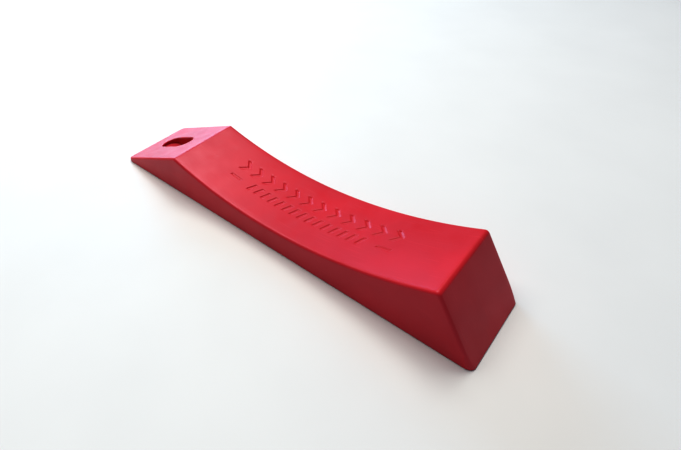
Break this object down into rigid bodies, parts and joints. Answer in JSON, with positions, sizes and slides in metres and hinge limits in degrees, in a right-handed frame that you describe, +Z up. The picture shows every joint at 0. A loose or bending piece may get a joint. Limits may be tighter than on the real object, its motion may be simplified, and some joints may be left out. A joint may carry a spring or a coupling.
{
  "type": "deadlift wedge",
  "caption": "Low moulded wedge with a ramp and a long concave saddle that a barbell's end plate rolls into; blind slot in the ramp, closing plate and rubber strips underneath.",
  "frame": {"origin": "centre of the footprint, on the plane that the wedge rests on", "axes": "+X from the thin tip of the ramp to the heel, +Z up, +Y across the wedge to the left of +X"},
  "size_m": [0.24, 0.048, 0.0336],
  "materials": {
    "shell_plastic": "satin moulded red plastic",
    "plate_plastic": "fine-grained moulded red plastic",
    "grip_rubber": "matt black rubber",
    "screw_steel": "zinc-plated steel"
  },
  "bodies": {
    "root": {"wedge_shell": "shell_plastic", "base_plate": "plate_plastic", "left_grip_strip": "grip_rubber", "right_grip_strip": "grip_rubber", "base_screw_1": "screw_steel", "base_screw_2": "screw_steel", "base_screw_3": "screw_steel", "base_screw_4": "screw_steel"}
  },
  "joints": []
}
